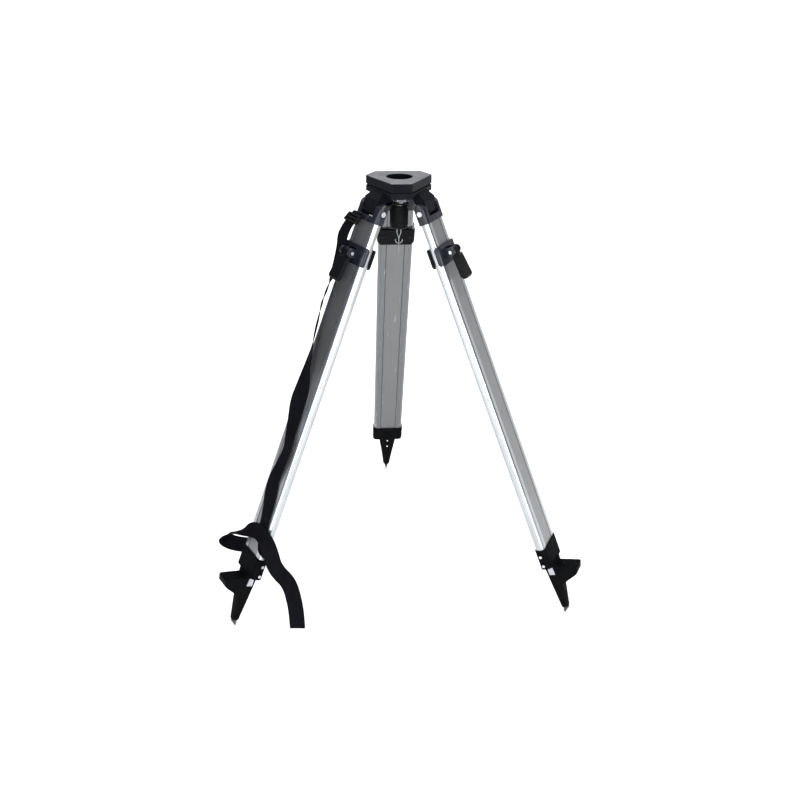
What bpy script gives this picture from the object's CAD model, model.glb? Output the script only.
import math

import bpy
from mathutils import Matrix, Vector


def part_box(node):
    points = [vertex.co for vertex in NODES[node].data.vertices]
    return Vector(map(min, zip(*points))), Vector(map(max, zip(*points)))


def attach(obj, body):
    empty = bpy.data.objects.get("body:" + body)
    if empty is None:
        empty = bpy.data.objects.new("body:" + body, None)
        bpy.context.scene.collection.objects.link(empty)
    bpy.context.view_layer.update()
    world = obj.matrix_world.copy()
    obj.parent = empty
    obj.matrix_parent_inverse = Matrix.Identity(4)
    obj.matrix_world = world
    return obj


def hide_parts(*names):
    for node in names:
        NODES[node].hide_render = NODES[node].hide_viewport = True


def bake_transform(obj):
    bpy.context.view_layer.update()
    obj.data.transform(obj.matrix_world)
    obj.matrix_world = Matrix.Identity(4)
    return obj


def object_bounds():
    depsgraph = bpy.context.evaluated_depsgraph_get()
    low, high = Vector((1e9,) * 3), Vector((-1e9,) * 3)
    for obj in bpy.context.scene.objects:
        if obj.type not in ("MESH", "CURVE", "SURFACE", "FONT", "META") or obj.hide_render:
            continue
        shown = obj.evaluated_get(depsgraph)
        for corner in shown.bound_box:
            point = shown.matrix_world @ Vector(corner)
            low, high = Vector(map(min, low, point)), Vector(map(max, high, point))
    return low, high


# A surveyor's tripod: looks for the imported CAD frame. Metres, origin at the centre of
# the head's top face, +Z up. A leg's own frame has its origin on the hinge axis, +X
# along that axis, +Y out of the leg's outer face and +Z up along the leg.

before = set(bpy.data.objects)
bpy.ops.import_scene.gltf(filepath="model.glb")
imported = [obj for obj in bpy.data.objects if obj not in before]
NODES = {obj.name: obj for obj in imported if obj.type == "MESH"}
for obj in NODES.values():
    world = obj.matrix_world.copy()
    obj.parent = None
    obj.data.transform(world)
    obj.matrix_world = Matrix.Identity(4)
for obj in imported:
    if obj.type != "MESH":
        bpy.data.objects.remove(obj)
cad_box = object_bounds()

MM = 0.001
LEGS = {"rear": 90, "left": 210, "right": 330}
LEG_ANGLE = math.radians(23.3)
HINGE_RADIUS, HINGE_DROP = 66 * MM, 62.5 * MM


def leg_matrix(side):
    """Leg frame to row frame."""
    turn = Matrix.Rotation(math.radians(LEGS[side] - 90), 4, "Z")
    shift = Matrix.Translation((0, HINGE_RADIUS, -HINGE_DROP))
    return turn @ shift @ Matrix.Rotation(LEG_ANGLE, 4, "X")


# ---------------------------------------------------------------- camera

CAMERA_PLACE = (-0.12832, -1.78538, 0.40017)
CAMERA_FORWARD = Vector((0.06688, 0.88673, -0.45743))
CAMERA_UP = Vector((0.02331, 0.45694, 0.88919))
CAMERA_LENS, CAMERA_SENSOR = 38.609, 36
CAMERA_NEAR, CAMERA_FAR = 0.01, 100


def make_camera():
    data = bpy.data.cameras.new("camera")
    data.lens = CAMERA_LENS
    data.sensor_width = CAMERA_SENSOR
    data.clip_start, data.clip_end = CAMERA_NEAR, CAMERA_FAR
    camera = bpy.data.objects.new("camera", data)
    bpy.context.scene.collection.objects.link(camera)
    right = CAMERA_FORWARD.cross(CAMERA_UP).normalized()
    up = right.cross(CAMERA_FORWARD).normalized()
    axes = Matrix((right, up, -CAMERA_FORWARD)).transposed().to_4x4()
    camera.matrix_world = Matrix.Translation(CAMERA_PLACE) @ axes
    bpy.context.scene.camera = camera


make_camera()

# ---------------------------------------------------------------- material nodes


class Paint:
    """A material with one Principled shader, and short calls that add its nodes."""

    def __init__(self, name, colour=(0.5, 0.5, 0.5), roughness=0.5, metallic=0.0,
                 specular=0.5):
        self.material = bpy.data.materials.new(name)
        self.material.use_nodes = True
        self.nodes = self.material.node_tree.nodes
        self.links = self.material.node_tree.links
        self.shader = self.nodes["Principled BSDF"]
        self.shader.inputs["Base Color"].default_value = (*colour, 1)
        self.shader.inputs["Roughness"].default_value = roughness
        self.shader.inputs["Metallic"].default_value = metallic
        self.shader.inputs["Specular IOR Level"].default_value = specular

    def add(self, kind, **values):
        made = self.nodes.new("ShaderNode" + kind)
        for key, value in values.items():
            setattr(made, key, value)
        return made

    def feed(self, value, socket):
        if isinstance(value, bpy.types.NodeSocket):
            self.links.new(value, socket)
        elif isinstance(value, tuple) and len(value) == 3 and socket.type == "RGBA":
            socket.default_value = (*value, 1)
        else:
            socket.default_value = value

    def place(self, matrix=None):
        """Object coordinates, or the coordinates in another frame."""
        output = self.add("TexCoord").outputs["Object"]
        if matrix is None:
            return output
        mapping = self.add("Mapping", vector_type="TEXTURE")
        mapping.inputs["Location"].default_value = matrix.to_translation()
        mapping.inputs["Rotation"].default_value = matrix.to_euler()
        self.feed(output, mapping.inputs["Vector"])
        return mapping.outputs["Vector"]

    def stretch(self, vector, scale):
        mapping = self.add("Mapping")
        mapping.inputs["Scale"].default_value = scale
        self.feed(vector, mapping.inputs["Vector"])
        return mapping.outputs["Vector"]

    def noise(self, vector, scale, detail=3.0):
        noise = self.add("TexNoise")
        self.feed(vector, noise.inputs["Vector"])
        noise.inputs["Scale"].default_value = scale
        noise.inputs["Detail"].default_value = detail
        return noise.outputs["Fac"]

    def split(self, vector):
        split = self.add("SeparateXYZ")
        self.feed(vector, split.inputs[0])
        return split.outputs

    def maths(self, operation, first, second=0.0, clamp=False):
        node = self.add("Math", operation=operation, use_clamp=clamp)
        self.feed(first, node.inputs[0])
        self.feed(second, node.inputs[1])
        return node.outputs[0]

    def fit(self, value, low, high, to_low=0.0, to_high=1.0):
        """Maps low..high to to_low..to_high, held at the ends."""
        node = self.add("MapRange")
        for socket, number in zip(node.inputs, (value, low, high, to_low, to_high)):
            self.feed(number, socket)
        return node.outputs[0]

    def mix(self, factor, first, second):
        node = self.add("Mix", data_type="RGBA")
        self.feed(factor, node.inputs["Factor"])
        self.feed(first, node.inputs[6])
        self.feed(second, node.inputs[7])
        return node.outputs[2]

    def blend(self, factor, first, second):
        node = self.add("Mix")
        self.feed(factor, node.inputs["Factor"])
        self.feed(first, node.inputs[2])
        self.feed(second, node.inputs[3])
        return node.outputs[0]

    def bump(self, height, distance, strength=1.0):
        bump = self.add("Bump")
        bump.inputs["Distance"].default_value = distance
        bump.inputs["Strength"].default_value = strength
        self.feed(height, bump.inputs["Height"])
        self.feed(bump.outputs[0], self.shader.inputs["Normal"])

    def colour(self, value):
        self.feed(value, self.shader.inputs["Base Color"])

    def rough(self, value):
        self.feed(value, self.shader.inputs["Roughness"])


# ---------------------------------------------------------------- materials

# Distances from a leg's middle over which its panel gives way to the stile, and to the
# groove beside the stile.
PANEL_EDGE = (21.2 * MM, 21.6 * MM)
GROOVE_EDGE = (19.9 * MM, 20.3 * MM)
# Middle and half width of a shoulder's screw pocket, and the depth where its floor lies.
POCKET_X, POCKET_Z = 8 * MM, -17.4 * MM
POCKET_EDGE = (4.4 * MM, 4.6 * MM)
POCKET_FLOOR = (10 * MM, 10.2 * MM)
# Height over which the head's black coat gives way to the machined top.
TOP_EDGE = (-0.9 * MM, -0.75 * MM)
TURNING_MARKS = 9000
# Height on a leg over which bare foot rivets give way to blackened clamp rivets.
RIVET_EDGE = (-0.5, -0.4)
WARP_PITCH, WEFT_PITCH = 1.75, 1.5


def profile_paint(side, member, tone, panel_share):
    """Satin anodised extrusion: draw lines along the leg, its own panel, dark grooves."""
    paint = Paint(f"{side}_{member}_alloy", metallic=0.9)
    place = paint.place(leg_matrix(side))
    lines = paint.noise(paint.stretch(place, (1, 1, 0.012)), 900, 2)
    clouds = paint.noise(place, 9, 4)
    marks = paint.noise(paint.stretch(place, (1, 1, 0.15)), 160, 6)
    beside = paint.maths("ABSOLUTE", paint.split(place)[0])
    panel = paint.fit(beside, *PANEL_EDGE, 1, 0)
    groove = paint.maths("MULTIPLY", panel, paint.fit(beside, *GROOVE_EDGE))
    stile = tuple(tone * part for part in (0.93, 0.965, 1.0))
    dull = tuple(tone * panel_share * part for part in (0.98, 0.99, 1.0))
    drawn = paint.mix(panel, stile, dull)
    worn = paint.mix(paint.fit(lines, 0.3, 0.7, 0, 0.2), drawn, tuple(0.7 * c for c in stile))
    cloudy = paint.mix(paint.fit(clouds, 0.35, 0.7, 0, 0.25), worn, tuple(0.8 * c for c in dull))
    scuffed = paint.mix(paint.fit(marks, 0.66, 0.78, 0, 0.5), cloudy, (0.5, 0.51, 0.52))
    paint.colour(paint.mix(groove, scuffed, (0.03, 0.033, 0.037)))
    paint.rough(paint.blend(panel, paint.fit(lines, 0.2, 0.8, 0.25, 0.31),
                            paint.fit(lines, 0.2, 0.8, 0.36, 0.52)))
    paint.bump(lines, 0.00001, 0.3)
    return paint.material


def cast_paint(name, colour, roughness, grain=1400, depth=0.00005, specular=0.3):
    """Powder coat on a casting: fine orange peel, faint dust and rubbed patches."""
    paint = Paint(name, colour, roughness, specular=specular)
    place = paint.place()
    peel = paint.noise(place, grain, 2)
    dust = paint.noise(place, 35, 5)
    rub = paint.noise(place, 90, 8)
    paint.colour(paint.mix(paint.fit(dust, 0.45, 0.8, 0, 0.35),
                           colour, tuple(2.2 * c + 0.002 for c in colour)))
    paint.rough(paint.fit(rub, 0.3, 0.7, roughness - 0.07, roughness + 0.1))
    paint.bump(peel, depth, 0.6)
    return paint.material


def plastic_paint(name, colour, roughness, specular):
    """Moulded plastic: fine spark texture with paler scuffs."""
    paint = Paint(name, colour, roughness, specular=specular)
    place = paint.place()
    spark = paint.noise(place, 2600, 2)
    scuff = paint.noise(paint.stretch(place, (1, 1, 0.3)), 140, 7)
    sheen = paint.noise(place, 24, 3)
    paint.colour(paint.mix(paint.fit(scuff, 0.62, 0.78, 0, 0.5),
                           colour, tuple(3.5 * c + 0.004 for c in colour)))
    paint.rough(paint.fit(sheen, 0.3, 0.7, roughness - 0.06, roughness + 0.12))
    paint.bump(spark, 0.00003, 0.5)
    return paint.material


def shoulder_paint(side):
    """The shoulder's moulded plastic, with paler square pockets round its small screws."""
    paint = Paint(f"{side}_shoulder_plastic", roughness=0.34, specular=0.3)
    place = paint.place()
    x, y, z = paint.split(paint.place(leg_matrix(side)))
    from_screw = paint.maths("ABSOLUTE", paint.maths("SUBTRACT", paint.maths("ABSOLUTE", x),
                                                     POCKET_X))
    from_level = paint.maths("ABSOLUTE", paint.maths("SUBTRACT", z, POCKET_Z))
    reach = paint.maths("MAXIMUM", from_screw, from_level)
    inside = paint.fit(reach, *POCKET_EDGE, 1, 0)
    floor = paint.maths("MULTIPLY", inside, paint.fit(y, *POCKET_FLOOR))
    scuff = paint.noise(paint.stretch(place, (1, 1, 0.3)), 140, 7)
    coat = paint.mix(paint.fit(scuff, 0.6, 0.78, 0, 0.5), (0.006, 0.0068, 0.011),
                     (0.022, 0.024, 0.032))
    paint.colour(paint.mix(floor, coat, (0.075, 0.08, 0.095)))
    paint.rough(paint.fit(paint.noise(place, 24, 3), 0.3, 0.7, 0.3, 0.46))
    paint.bump(paint.noise(place, 2600, 2), 0.00003, 0.5)
    return paint.material


def metal_paint(name, colour, roughness, streak=(1, 1, 1), scale=500):
    """Bare or plated metal with fine marks."""
    paint = Paint(name, colour, roughness, metallic=1)
    place = paint.place()
    marks = paint.noise(paint.stretch(place, streak), scale, 4)
    stain = paint.noise(place, 70, 4)
    paint.colour(paint.mix(paint.fit(stain, 0.4, 0.75, 0, 0.4),
                           colour, tuple(0.62 * c for c in colour)))
    paint.rough(paint.fit(marks, 0.3, 0.7, roughness - 0.08, roughness + 0.12))
    paint.bump(marks, 0.00003, 0.5)
    return paint.material


def rivet_paint(side):
    """Bare alloy rivets on the foot; the clamp's rivets are blackened like the clamp."""
    paint = Paint(f"{side}_rivets", metallic=0.9)
    height = paint.split(paint.place(leg_matrix(side)))[2]
    blackened = paint.fit(height, *RIVET_EDGE)
    marks = paint.noise(paint.place(), 600, 4)
    bare = paint.mix(paint.fit(marks, 0.3, 0.7), (0.42, 0.43, 0.44), (0.6, 0.61, 0.62))
    paint.colour(paint.mix(blackened, bare, (0.012, 0.012, 0.014)))
    paint.rough(paint.fit(marks, 0.3, 0.7, 0.3, 0.5))
    paint.bump(marks, 0.00003, 0.5)
    return paint.material


def head_paint():
    """Black coated plate whose top face is machined bright, with turning marks."""
    paint = Paint("head_plate_paint", specular=0.04)
    place = paint.place()
    x, y, z = paint.split(place)
    top = paint.fit(z, *TOP_EDGE)
    squares = paint.maths("ADD", paint.maths("MULTIPLY", x, x), paint.maths("MULTIPLY", y, y))
    radius = paint.maths("SQRT", squares)
    wobble = paint.noise(place, 60, 3)
    turns = paint.maths("MULTIPLY", radius, TURNING_MARKS)
    rings = paint.maths("SINE", paint.maths("ADD", turns, wobble))
    stain = paint.noise(place, 28, 5)
    scratch = paint.noise(paint.stretch(place, (1, 0.06, 1)), 420, 3)
    bare = paint.mix(paint.fit(stain, 0.35, 0.7), (0.17, 0.174, 0.18), (0.115, 0.118, 0.123))
    bare = paint.mix(paint.fit(scratch, 0.68, 0.76, 0, 0.5), bare, (0.32, 0.32, 0.33))
    coat = paint.mix(paint.fit(stain, 0.4, 0.7), (0.003, 0.0032, 0.0048), (0.006, 0.0065, 0.009))
    paint.colour(paint.mix(top, coat, bare))
    paint.rough(paint.blend(top, paint.fit(stain, 0.3, 0.7, 0.3, 0.42),
                            paint.fit(scratch, 0.3, 0.7, 0.5, 0.62)))
    paint.feed(paint.maths("MULTIPLY", top, 0.8), paint.shader.inputs["Metallic"])
    grain = paint.noise(place, 1500, 2)
    paint.bump(paint.blend(top, grain, paint.fit(rings, -1, 1)), 0.00004, 0.5)
    return paint.material


def webbing_paint():
    """Black woven nylon: plain weave across and along the band, in the piece's UV."""
    paint = Paint("webbing_weave", roughness=0.85, specular=0.015)
    across, along = paint.split(paint.add("TexCoord").outputs["UV"])[:2]
    warp = paint.maths("SINE", paint.maths("MULTIPLY", across, 2 * math.pi / WARP_PITCH))
    weft = paint.maths("SINE", paint.maths("MULTIPLY", along, 2 * math.pi / WEFT_PITCH))
    weave = paint.maths("MULTIPLY", warp, weft)
    fuzz = paint.noise(paint.add("TexCoord").outputs["UV"], 3.5, 4)
    fade = paint.noise(paint.place(), 22, 4)
    thread = paint.mix(paint.fit(weave, -1, 1), (0.0012, 0.0012, 0.0018), (0.0045, 0.0046, 0.006))
    faded = paint.mix(paint.fit(fade, 0.4, 0.75, 0, 0.5), thread, (0.006, 0.006, 0.0075))
    paint.colour(paint.mix(paint.fit(fuzz, 0.62, 0.8, 0, 0.4), faded, (0.012, 0.012, 0.014)))
    paint.rough(paint.fit(weave, -1, 1, 0.85, 0.65))
    paint.bump(weave, 0.00025, 0.8)
    return paint.material


CAST = cast_paint("black_casting", (0.003, 0.0033, 0.005), 0.45, specular=0.05)
FOOT_CAST = cast_paint("foot_casting", (0.0016, 0.0018, 0.0022), 0.6, 700, 0.00012, 0.02)
PLASTIC = plastic_paint("moulded_plastic", (0.002, 0.0021, 0.0028), 0.42, 0.08)
CLAMP_PLASTIC = plastic_paint("clamp_plastic", (0.006, 0.0068, 0.011), 0.34, 0.3)
GRIP_RUBBER = plastic_paint("grip_rubber", (0.0016, 0.0017, 0.002), 0.6, 0.08)
PALE_PLASTIC = cast_paint("core_grey", (0.26, 0.26, 0.28), 0.55, 900)
ZINC = metal_paint("zinc_plate", (0.62, 0.66, 0.68), 0.26)
WIRE = metal_paint("hook_wire", (0.30, 0.32, 0.31), 0.4)
STEEL = metal_paint("turned_steel", (0.055, 0.057, 0.06), 0.36, (1, 1, 12), 160)
DARK_STEEL = metal_paint("blackened_steel", (0.09, 0.092, 0.10), 0.42)
BRASS = metal_paint("turned_brass", (0.42, 0.31, 0.15), 0.34, (1, 1, 10), 180)
WEBBING = webbing_paint()

NODE_PAINTS = {
    "head_plate": head_paint(), "hinge_casting": CAST, "head_screws": DARK_STEEL,
    "hinge_pins": ZINC, "hinge_bushes": PLASTIC, "swing_arm": DARK_STEEL,
    "arm_pivot_screw": DARK_STEEL, "slot_bush": PLASTIC, "thrust_washer": DARK_STEEL,
    "fixing_screw": BRASS, "fixing_knob": GRIP_RUBBER, "plumb_hook": WIRE,
    "strap_anchor": DARK_STEEL, "strap_slider": PLASTIC,
    "strap_upper": WEBBING, "strap_lower": WEBBING,
}
SIDE_PAINTS = {
    "shoulder_screws": DARK_STEEL, "guide_plug": PLASTIC,
    "clamp_front": CLAMP_PLASTIC, "clamp_back": PLASTIC, "clamp_lever": PLASTIC,
    "lever_pin": ZINC, "brake_shoe": PLASTIC, "foot_shoe": FOOT_CAST,
    "foot_core": PALE_PLASTIC, "foot_tip": STEEL,
}


# Brightness of each leg's stiles, and the panel's share of it.
PROFILE_TONES = {"rear": (0.175, 1.08), "left": (0.45, 0.6), "right": (0.45, 0.62)}


def wear(piece, material):
    piece.data.materials.clear()
    piece.data.materials.append(material)


def paint_nodes():
    for name, material in NODE_PAINTS.items():
        wear(NODES[name], material)
    for side in LEGS:
        for member, material in SIDE_PAINTS.items():
            wear(NODES[f"{side}_{member}"], material)
        wear(NODES[f"{side}_shoulder"], shoulder_paint(side))
        wear(NODES[f"{side}_leg_rivets"], rivet_paint(side))
        tone, panel_share = PROFILE_TONES[side]
        for member in ("upper_leg", "lower_leg"):
            wear(NODES[f"{side}_{member}"], profile_paint(side, member, tone, panel_share))


paint_nodes()

# ---------------------------------------------------------------- softened CAD edges

EDGE_WIDTHS = {
    "hinge_casting": 0.9, "swing_arm": 0.5, "fixing_knob": 0.3, "shoulder": 0.9,
    "clamp_front": 0.8, "clamp_back": 0.8, "clamp_lever": 1.2, "foot_shoe": 0.9,
    "strap_slider": 0.6, "strap_anchor": 0.4,
}


def soften(piece, width):
    """Rounds the sharp edges of a CAD node's mesh as a mould or a casting leaves them."""
    weld = piece.modifiers.new("weld", "WELD")
    weld.merge_threshold = 0.01 * MM
    bevel = piece.modifiers.new("edges", "BEVEL")
    bevel.width = width * MM
    bevel.segments = 2
    bevel.limit_method = "ANGLE"
    bevel.angle_limit = math.radians(40)
    bevel.harden_normals = True


def soften_nodes():
    for name, piece in NODES.items():
        member = name.split("_", 1)[1] if name.split("_")[0] in LEGS else name
        if member in EDGE_WIDTHS:
            soften(piece, EDGE_WIDTHS[member])


soften_nodes()

# ---------------------------------------------------------------- meshes


def mesh_piece(name, vertices, faces, material, body):
    """A mesh object that rides on a body."""
    data = bpy.data.meshes.new(name)
    data.from_pydata([tuple(point) for point in vertices], [], faces)
    data.validate()
    data.shade_smooth()
    piece = bpy.data.objects.new(name, data)
    bpy.context.scene.collection.objects.link(piece)
    data.materials.append(material)
    if body:
        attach(piece, body)
    return piece


def rows_of_faces(rows, columns, closed):
    """Quads between successive rows of points."""
    faces = []
    across = columns if closed else columns - 1
    for row in range(rows - 1):
        for column in range(across):
            following = (column + 1) % columns
            faces.append((row * columns + column, row * columns + following,
                          (row + 1) * columns + following, (row + 1) * columns + column))
    return faces


# ---------------------------------------------------------------- carrying strap

# Points of the strap's route in the left leg's frame, and the direction across the band,
# in metres: the same stations as in the CAD source.
STRAP_ROUTE = [
    ((0.024, 0.0164, -0.013), (1, 0, 0)), ((0.024, 0.030, -0.041), (1, 0, 0)),
    ((0.024, 0.033, -0.054), (1, 0, 0)), ((0.028, 0.031, -0.067), (1, 0, 0)),
    ((0.035, 0.026, -0.079), (1, 0, 0)), ((0.0385, 0.020, -0.092), (1, 0, 0)),
    ((0.038, 0.0174, -0.108), (1, 0, 0)), ((0.037, 0.0155, -0.128), (1, 0, 0)),
    ((0.035, 0.017, -0.150), (0.98, -0.17, 0)), ((0.030, 0.024, -0.172), (0.81, -0.59, 0)),
    ((0.027, 0.027, -0.196), (0.75, -0.66, 0)), ((0.027, 0.028, -0.218), (0.91, -0.42, 0)),
    ((0.023, 0.027, -0.244), (0.79, -0.62, 0)), ((0.019, 0.0255, -0.282), (0.77, -0.64, 0)),
    ((0.013, 0.023, -0.322), (0.91, -0.42, 0)), ((0.013, 0.020, -0.360), (0.99, -0.14, 0)),
    ((0.006, 0.0195, -0.402), (0.91, 0.42, 0)), ((-0.002, 0.0245, -0.432), (0.73, 0.68, 0)),
    ((0.000, 0.019, -0.472), (0.94, 0.34, 0)), ((0.001, 0.0148, -0.508), (1, 0.05, 0)),
    ((-0.009, 0.017, -0.541), (0.97, -0.22, 0)), ((-0.003, 0.015, -0.585), (1, -0.06, 0)),
    ((0.0015, 0.0165, -0.619), (0.98, 0.2, 0)), ((-0.008, 0.0186, -0.655), (0.94, 0.34, 0)),
    ((-0.011, 0.0155, -0.690), (1, 0.08, 0)), ((-0.013, 0.0138, -0.716), (1, 0, -0.1)),
    ((-0.019, 0.0136, -0.740), (0.9, 0, -0.44)), ((-0.031, 0.0136, -0.759), (0.7, 0.05, -0.7)),
    ((-0.043, 0.011, -0.771), (0.41, 0.46, -0.78)), ((-0.047, 0.0, -0.779), (0, 0.45, -0.89)),
    ((-0.042, -0.013, -0.785), (-0.2, 0.03, -0.97)),
    ((-0.020, -0.0158, -0.791), (-0.25, 0, -0.97)),
    ((0.010, -0.016, -0.799), (-0.27, 0, -0.96)),
    ((0.038, -0.0158, -0.808), (-0.37, -0.05, -0.93)),
    ((0.054, -0.009, -0.817), (-0.35, -0.15, -0.93)),
    ((0.071, 0.003, -0.825), (-0.3, 0.1, -0.95)), ((0.085, 0.016, -0.828), (-0.3, 0.35, -0.89)),
    ((0.090, 0.030, -0.824), (-0.3, 0.5, -0.81)), ((0.082, 0.041, -0.811), (0.05, 0.65, -0.76)),
    ((0.064, 0.043, -0.795), (0.4, 0.7, -0.6)), ((0.043, 0.038, -0.778), (0.5, 0.62, -0.6)),
    ((0.020, 0.0315, -0.758), (0.4, 0.45, -0.8)), ((-0.004, 0.026, -0.745), (0.2, 0.3, -0.93)),
    ((-0.026, 0.0215, -0.743), (0.15, 0.25, -0.95)),
    ((-0.054, 0.018, -0.750), (0.32, 0.5, -0.75)),
    ((-0.071, 0.010, -0.768), (0.46, 0.71, -0.54)),
    ((-0.083, 0.001, -0.790), (0.35, 0.64, -0.68)),
    ((-0.097, -0.012, -0.803), (0.15, 0.5, -0.85)),
    ((-0.109, -0.025, -0.811), (0.23, 0.54, -0.81)),
    ((-0.115, -0.038, -0.826), (0.44, 0.7, -0.57)),
    ((-0.118, -0.049, -0.844), (0.49, 0.73, -0.49)),
    ((-0.120, -0.063, -0.868), (0.51, 0.74, -0.45)),
    ((-0.121, -0.077, -0.896), (0.55, 0.75, -0.36)),
    ((-0.121, -0.092, -0.930), (0.56, 0.76, -0.33)),
]
STRAP_WIDTH, STRAP_THICK, STRAP_LENGTH = 0.035, 1.8 * MM, 1.38


def spline_points(controls, resolution=8):
    """Points along the NURBS spline of some control points."""
    curve = bpy.data.curves.new("route", "CURVE")
    curve.dimensions = "3D"
    curve.resolution_u = resolution
    spline = curve.splines.new("NURBS")
    spline.points.add(len(controls) - 1)
    for point, place in zip(spline.points, controls):
        point.co = (*place, 1)
    spline.order_u = 3
    spline.use_endpoint_u = True
    holder = bpy.data.objects.new("route", curve)
    bpy.context.scene.collection.objects.link(holder)
    bpy.context.view_layer.update()
    mesh = bpy.data.meshes.new_from_object(holder)
    points = [vertex.co.copy() for vertex in mesh.vertices]
    bpy.data.objects.remove(holder)
    bpy.data.meshes.remove(mesh)
    return points


# Half section of the band, as shares of its half width and half thickness: flat faces
# with a thicker rolled selvedge at each edge.
BAND_SIDE = [(0, 0.9), (0.3, 0.9), (0.6, 0.9), (0.84, 0.9), (0.9, 1.0), (0.96, 0.85), (1, 0)]


def band_ring():
    upper = [(-x, y) for x, y in reversed(BAND_SIDE[1:])] + BAND_SIDE
    lower = [(x, -y) for x, y in reversed(upper[1:-1])]
    return upper + lower


def make_strap():
    """One flat woven band along the route, square to its run."""
    leg = leg_matrix("left")
    centres = spline_points([leg @ Vector(point) for point, across in STRAP_ROUTE])
    beside = spline_points([leg @ Vector(point) + leg.to_3x3() @ Vector(across).normalized()
                            for point, across in STRAP_ROUTE])
    ring = band_ring()
    vertices, travel, travels = [], 0.0, []
    for index, centre in enumerate(centres):
        before, after = centres[max(index - 1, 0)], centres[min(index + 1, len(centres) - 1)]
        tangent = (after - before).normalized()
        side = beside[index] - centre
        side = (side - tangent * side.dot(tangent)).normalized()
        face = tangent.cross(side)
        travel += (centre - before).length if index else 0.0
        travels.append(travel)
        for x, y in ring:
            vertices.append(centre + side * (x * STRAP_WIDTH / 2) + face * (y * STRAP_THICK / 2))
    faces = rows_of_faces(len(centres), len(ring), True)
    last = (len(centres) - 1) * len(ring)
    faces.append(tuple(reversed(range(len(ring)))))
    faces.append(tuple(range(last, last + len(ring))))
    strap = mesh_piece("carrying_strap", vertices, faces, WEBBING, None)
    weave = strap.data.uv_layers.new(name="weave")
    for loop in strap.data.loops:
        row, column = divmod(loop.vertex_index, len(ring))
        weave.data[loop.index].uv = (ring[column][0] * STRAP_WIDTH / 2 / MM, travels[row] / MM)
    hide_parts("strap_upper", "strap_lower")
    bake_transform(strap)


make_strap()

# ---------------------------------------------------------------- turned details

THREAD_PITCH, THREAD_DEPTH, THREAD_RADIUS = 2.309 * MM, 1.3 * MM, 7.9375 * MM
COLLAR_LOW, COLLAR_HIGH, COLLAR_RADIUS = -30.5 * MM, -28.9 * MM, 10 * MM
TIP_BREAK = 1.5 * MM
THREAD_COLUMNS, STEPS_PER_TURN = 48, 8


def ring_of(radii, place):
    """Points round Z at the given radii, one after another."""
    count = len(radii)
    turns = [2 * math.pi * index / count for index in range(count)]
    return [Vector((radius * math.cos(turn), radius * math.sin(turn), place))
            for turn, radius in zip(turns, radii)]


def capped_faces(rows, columns):
    """Quads between rings, and a face over each end."""
    faces = rows_of_faces(rows, columns, True)
    last = (rows - 1) * columns
    faces.append(tuple(reversed(range(columns))))
    faces.append(tuple(range(last, last + columns)))
    return faces


def make_screw_thread():
    """The fixing screw with its 5/8 inch thread cut above the retaining collar."""
    columns = THREAD_COLUMNS
    low, high = (corner[2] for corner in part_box("fixing_screw"))
    rings = [(THREAD_RADIUS, low), (THREAD_RADIUS, COLLAR_LOW), (COLLAR_RADIUS, COLLAR_LOW),
             (COLLAR_RADIUS, COLLAR_HIGH), (THREAD_RADIUS, COLLAR_HIGH)]
    vertices = []
    for radius, place in rings:
        vertices += ring_of([radius] * columns, place)
    step = THREAD_PITCH / STEPS_PER_TURN
    start, count = COLLAR_HIGH + step, int((high - COLLAR_HIGH) / step)
    for row in range(count):
        place = min(start + row * step, high)
        run_out = min(1.0, (place - COLLAR_HIGH) / THREAD_PITCH)
        widest = THREAD_RADIUS - max(0.0, place - (high - TIP_BREAK))
        radii = []
        for column in range(columns):
            phase = (place / THREAD_PITCH - column / columns) % 1
            depth = THREAD_DEPTH * run_out * min(1.0, max(0.0, 1.3 * abs(2 * phase - 1) - 0.15))
            radii.append(min(THREAD_RADIUS - depth, widest))
        vertices += ring_of(radii, place)
    vertices += ring_of([THREAD_RADIUS - TIP_BREAK] * columns, high)
    screw = mesh_piece("threaded_screw", vertices,
                       capped_faces(len(rings) + count + 1, columns), BRASS, "screw")
    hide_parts("fixing_screw")


RIB_COUNT, RIB_TALL, RIB_ROOT, COLUMNS_PER_RIB = 30, 0.9 * MM, 18.7 * MM, 6
GRIP_TOP, GRIP_BOTTOM, GRIP_TAPER = -64 * MM, -102 * MM, 3 * MM


def make_knob_grip():
    """Fine ribs round the hand knob."""
    columns = RIB_COUNT * COLUMNS_PER_RIB
    ribs = [RIB_TALL * max(0.0, math.cos(RIB_COUNT * 2 * math.pi * column / columns)) ** 0.5
            for column in range(columns)]
    vertices = []
    stations = ((GRIP_BOTTOM, 0), (GRIP_BOTTOM + GRIP_TAPER, 1),
                (GRIP_TOP - GRIP_TAPER, 1), (GRIP_TOP, 0))
    for place, share in stations:
        vertices += ring_of([RIB_ROOT + share * rib for rib in ribs], place)
    grip = mesh_piece("knob_grip", vertices, capped_faces(len(stations), columns),
                      GRIP_RUBBER, "screw")


# Half section of a small pan head screw with a socket: radius and height in millimetres.
SCREW_SECTION = [(2.7, -0.6), (2.7, 0.3), (2.5, 0.8), (2.0, 1.2), (1.2, 1.4), (1.0, 1.35),
                 (0.95, 0.6), (0.1, 0.5)]
SCREW_COLUMNS, FOOT_FACE = 20, -13 * MM
FOOT_SCREW_LEVELS = (-860 * MM, -886 * MM)


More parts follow.
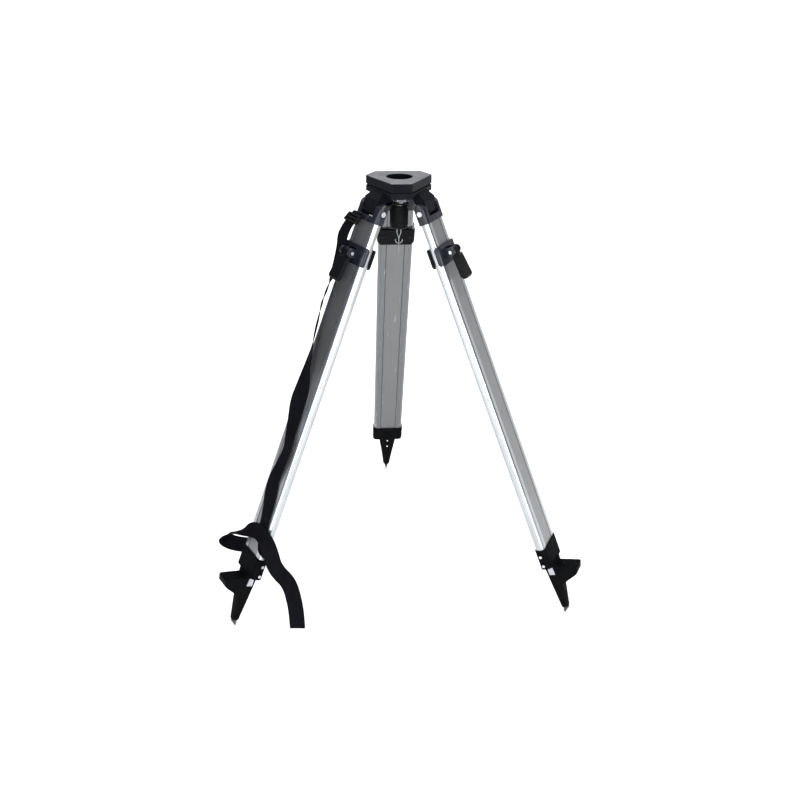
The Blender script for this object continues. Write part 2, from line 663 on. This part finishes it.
def make_foot_screws(side):
    """Two small screws on the foot's inner face."""
    columns, rows = SCREW_COLUMNS, len(SCREW_SECTION)
    leg = leg_matrix(side)
    vertices, faces = [], []
    for level in FOOT_SCREW_LEVELS:
        spot = Matrix.Translation((0, FOOT_FACE, level)) @ Matrix.Rotation(math.pi / 2, 4, "X")
        start = len(vertices)
        for radius, height in SCREW_SECTION:
            ring = ring_of([radius * MM] * columns, height * MM)
            vertices += [leg @ spot @ point for point in ring]
        faces += [tuple(start + index for index in face) for face in capped_faces(rows, columns)]
    screws = mesh_piece(f"{side}_foot_screws", vertices, faces, ZINC, f"{side}_lower")


LINK_COLUMNS, LINK_ROWS, LINK_WIRE = 8, 28, 0.35 * MM
LINK_MIDDLE, LINK_HALF_TALL, LINK_HALF_WIDE = -153.5 * MM, 9.5 * MM, 1.6 * MM


def make_hook_link():
    """A thin wire link that hangs in the plumb hook."""
    columns, rows, wire = LINK_COLUMNS, LINK_ROWS, LINK_WIRE
    vertices, faces = [], rows_of_faces(rows, columns, True)
    for row in range(rows):
        turn = 2 * math.pi * row / rows
        centre = Vector((0, LINK_HALF_WIDE * math.sin(turn),
                         LINK_MIDDLE + LINK_HALF_TALL * math.cos(turn)))
        outward = Vector((0, math.sin(turn), math.cos(turn)))
        for column in range(columns):
            round_wire = 2 * math.pi * column / columns
            vertices.append(centre + outward * wire * math.cos(round_wire)
                            + Vector((wire * math.sin(round_wire), 0, 0)))
    last = (rows - 1) * columns
    for column in range(columns):
        following = (column + 1) % columns
        faces.append((last + column, last + following, following, column))
    link = mesh_piece("hook_link", vertices, faces, WIRE, "hook")


make_screw_thread()
make_knob_grip()
make_hook_link()
for side in LEGS:
    make_foot_screws(side)

# ---------------------------------------------------------------- floor and light

FLOOR_Z = cad_box[0][2]
SWEEP_HALF_WIDTH, SWEEP_FRONT, SWEEP_BACK = 4.5, -3.5, 3.2
SWEEP_RADIUS, SWEEP_TOP, SWEEP_STEPS = 1.5, 3.0, 24


def make_stage():
    """A pale studio sweep: floor, a quarter turn and a back wall."""
    profile = [(SWEEP_FRONT, 0.0)]
    for step in range(SWEEP_STEPS + 1):
        turn = math.radians(90 * step / SWEEP_STEPS)
        profile.append((SWEEP_BACK + SWEEP_RADIUS * math.sin(turn),
                        SWEEP_RADIUS * (1 - math.cos(turn))))
    profile.append((SWEEP_BACK + SWEEP_RADIUS, SWEEP_TOP))
    vertices = [(x, y, FLOOR_Z + z) for y, z in profile
                for x in (-SWEEP_HALF_WIDTH, SWEEP_HALF_WIDTH)]
    paint = Paint("floor_paint", roughness=0.9)
    speck = paint.noise(paint.place(), 3, 2)
    paint.colour(paint.mix(speck, (0.86, 0.86, 0.86), (0.9, 0.9, 0.9)))
    floor = mesh_piece("floor", vertices, rows_of_faces(len(profile), 2, False),
                       paint.material, None)


def area_light(name, place, aim, size, power, tint=(1, 1, 1)):
    data = bpy.data.lights.new(name, "AREA")
    data.shape = "RECTANGLE"
    data.size, data.size_y = size
    data.energy = power
    data.color = tint
    light = bpy.data.objects.new(name, data)
    bpy.context.scene.collection.objects.link(light)
    light.location = place
    light.rotation_euler = (Vector(aim) - Vector(place)).to_track_quat("-Z", "Y").to_euler()


def make_lights():
    world = bpy.data.worlds.new("studio")
    world.use_nodes = True
    sky = world.node_tree.nodes["Background"]
    sky.inputs["Color"].default_value = (0.80, 0.87, 1.0, 1)
    sky.inputs["Strength"].default_value = 0.16
    bpy.context.scene.world = world
    bpy.context.scene.view_settings.view_transform = "Standard"
    area_light("top", (0, 0.6, 3.6), (0, 0.4, -1), (5.5, 6.0), 330)
    area_light("left_strip", (-1.35, -2.3, 0.1), (-0.1, 0, -0.35), (1.4, 1.9), 76, (0.92, 0.96, 1))
    area_light("right_strip", (1.25, -2.3, 0.1), (0.1, 0, -0.35), (1.4, 1.9), 82)
    area_light("right_back", (3.2, 1.8, -0.3), (0.2, 0, -0.5), (1.5, 1.6), 7)
    area_light("wall", (0, 1.0, 1.9), (0, 4.7, 0.1), (6.5, 1.2), 110)


make_stage()
make_lights()
